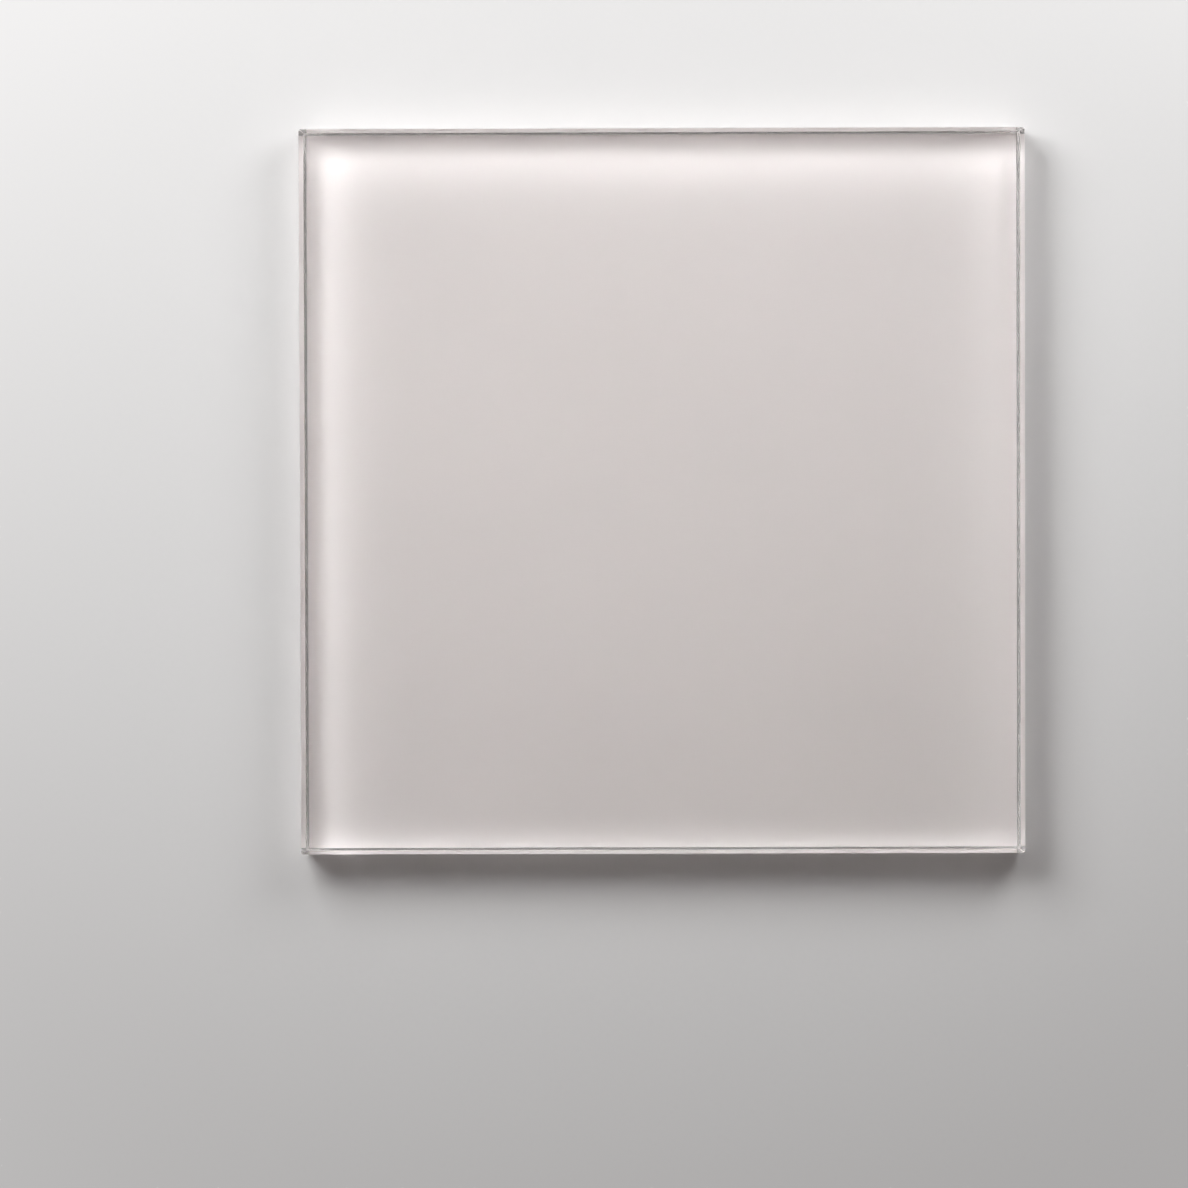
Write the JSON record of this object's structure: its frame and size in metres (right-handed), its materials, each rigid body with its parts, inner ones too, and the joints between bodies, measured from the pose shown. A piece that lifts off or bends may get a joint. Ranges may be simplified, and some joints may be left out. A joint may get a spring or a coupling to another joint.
{
  "type": "painted glass panel",
  "caption": "Square panel of clear float glass with flat polished, arrissed edges, painted opaque pale warm grey on its back.",
  "frame": {"origin": "middle of the painted back, on the surface that the panel lies on", "axes": "+Z through the thickness, from the painted back to the glass front; +X across the width and +Y along the length, with the edge that is lowest in the picture facing -Y"},
  "size_m": [0.1, 0.1, 0.0061],
  "materials": {
    "clear_glass": "polished",
    "back_paint": "satin"
  },
  "bodies": {
    "root": {"glass_pane": "clear_glass", "paint_coat": "back_paint"}
  },
  "joints": []
}
